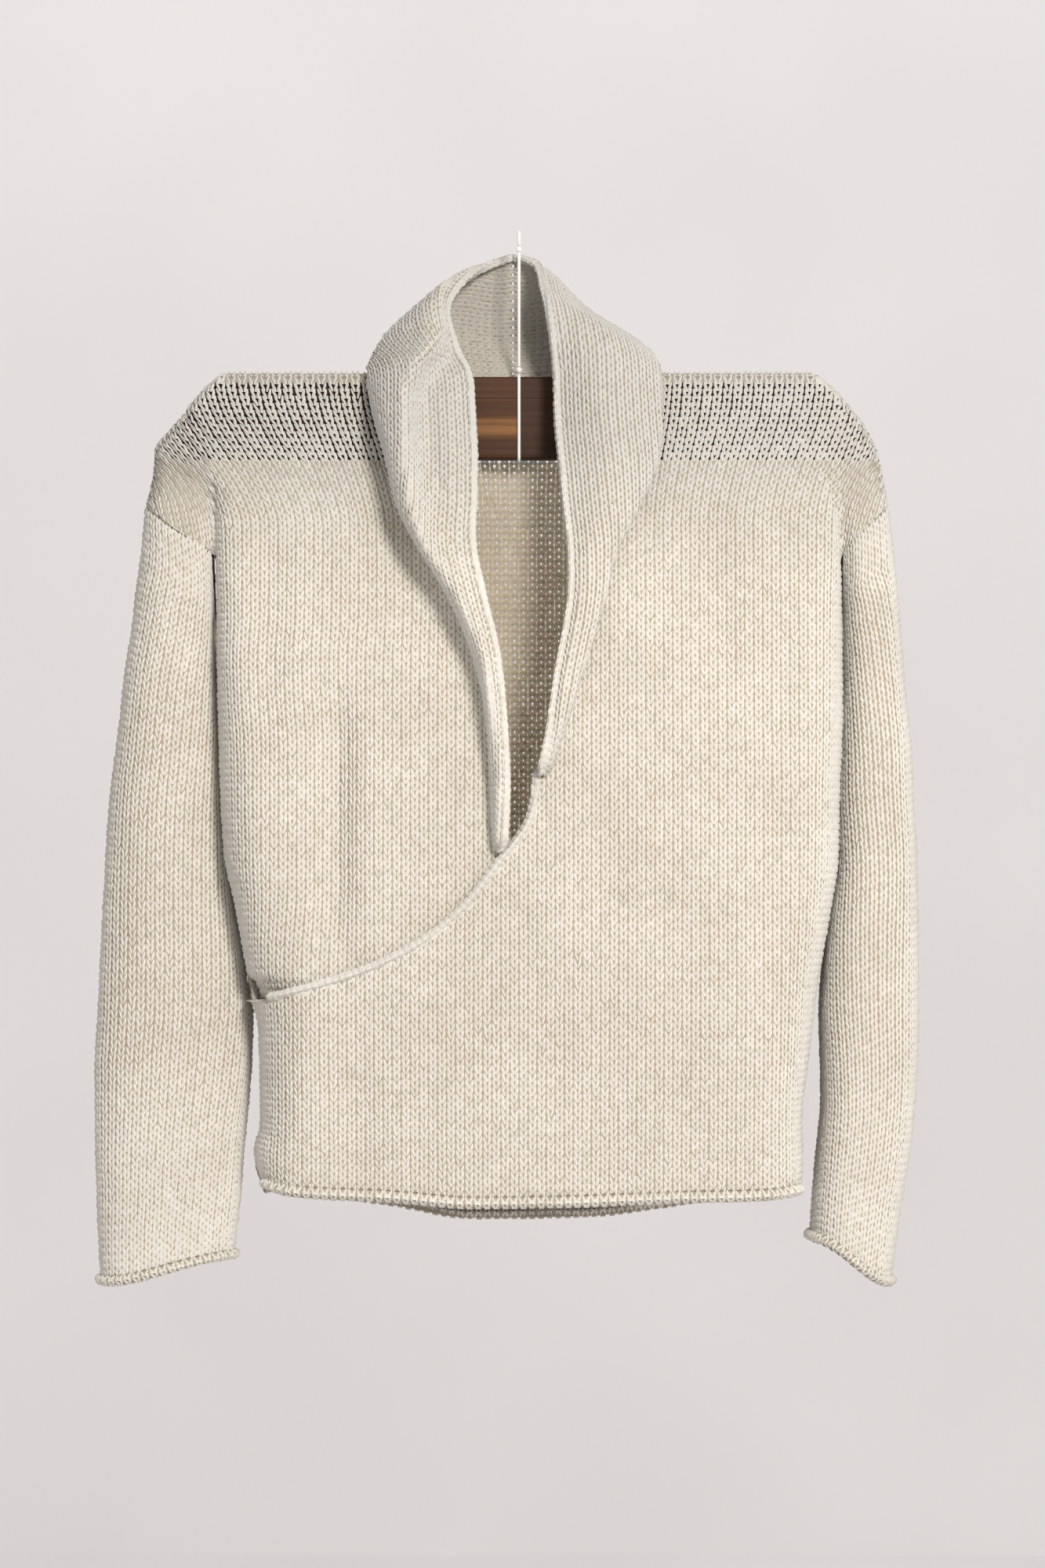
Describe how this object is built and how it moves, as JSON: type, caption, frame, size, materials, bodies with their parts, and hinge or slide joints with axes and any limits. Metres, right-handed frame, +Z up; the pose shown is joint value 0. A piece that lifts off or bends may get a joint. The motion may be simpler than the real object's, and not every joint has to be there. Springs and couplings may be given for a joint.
{
  "type": "wrap-front knitted sweater hung on a wooden bar with a cord",
  "caption": "Knitted wrap-front sweater with a standing shawl collar and long sleeves, hung by its shoulders on a wooden bar that a cord carries.",
  "frame": {"origin": "top of the cord's eye, where the part hangs", "axes": "+Z up, +X to the viewer's right (the wearer's left), the front faces -Y"},
  "size_m": [0.5286, 0.1165, 0.6766],
  "materials": {
    "knit": "cream wool in stocking stitch, matt and slightly fuzzy",
    "bar_wood": "dark brown oiled hardwood with straight grain",
    "cord": "white twisted cotton cord"
  },
  "bodies": {
    "root": {"front_right": "knit", "front_left": "knit", "back": "knit", "sleeve_right": "knit", "sleeve_left": "knit", "collar_right": "knit", "collar_left": "knit", "bar": "bar_wood", "cord_hoop": "cord", "cord_knot": "cord", "cord_line": "cord", "cord_eye_knot": "cord", "cord_eye": "cord"}
  },
  "joints": []
}
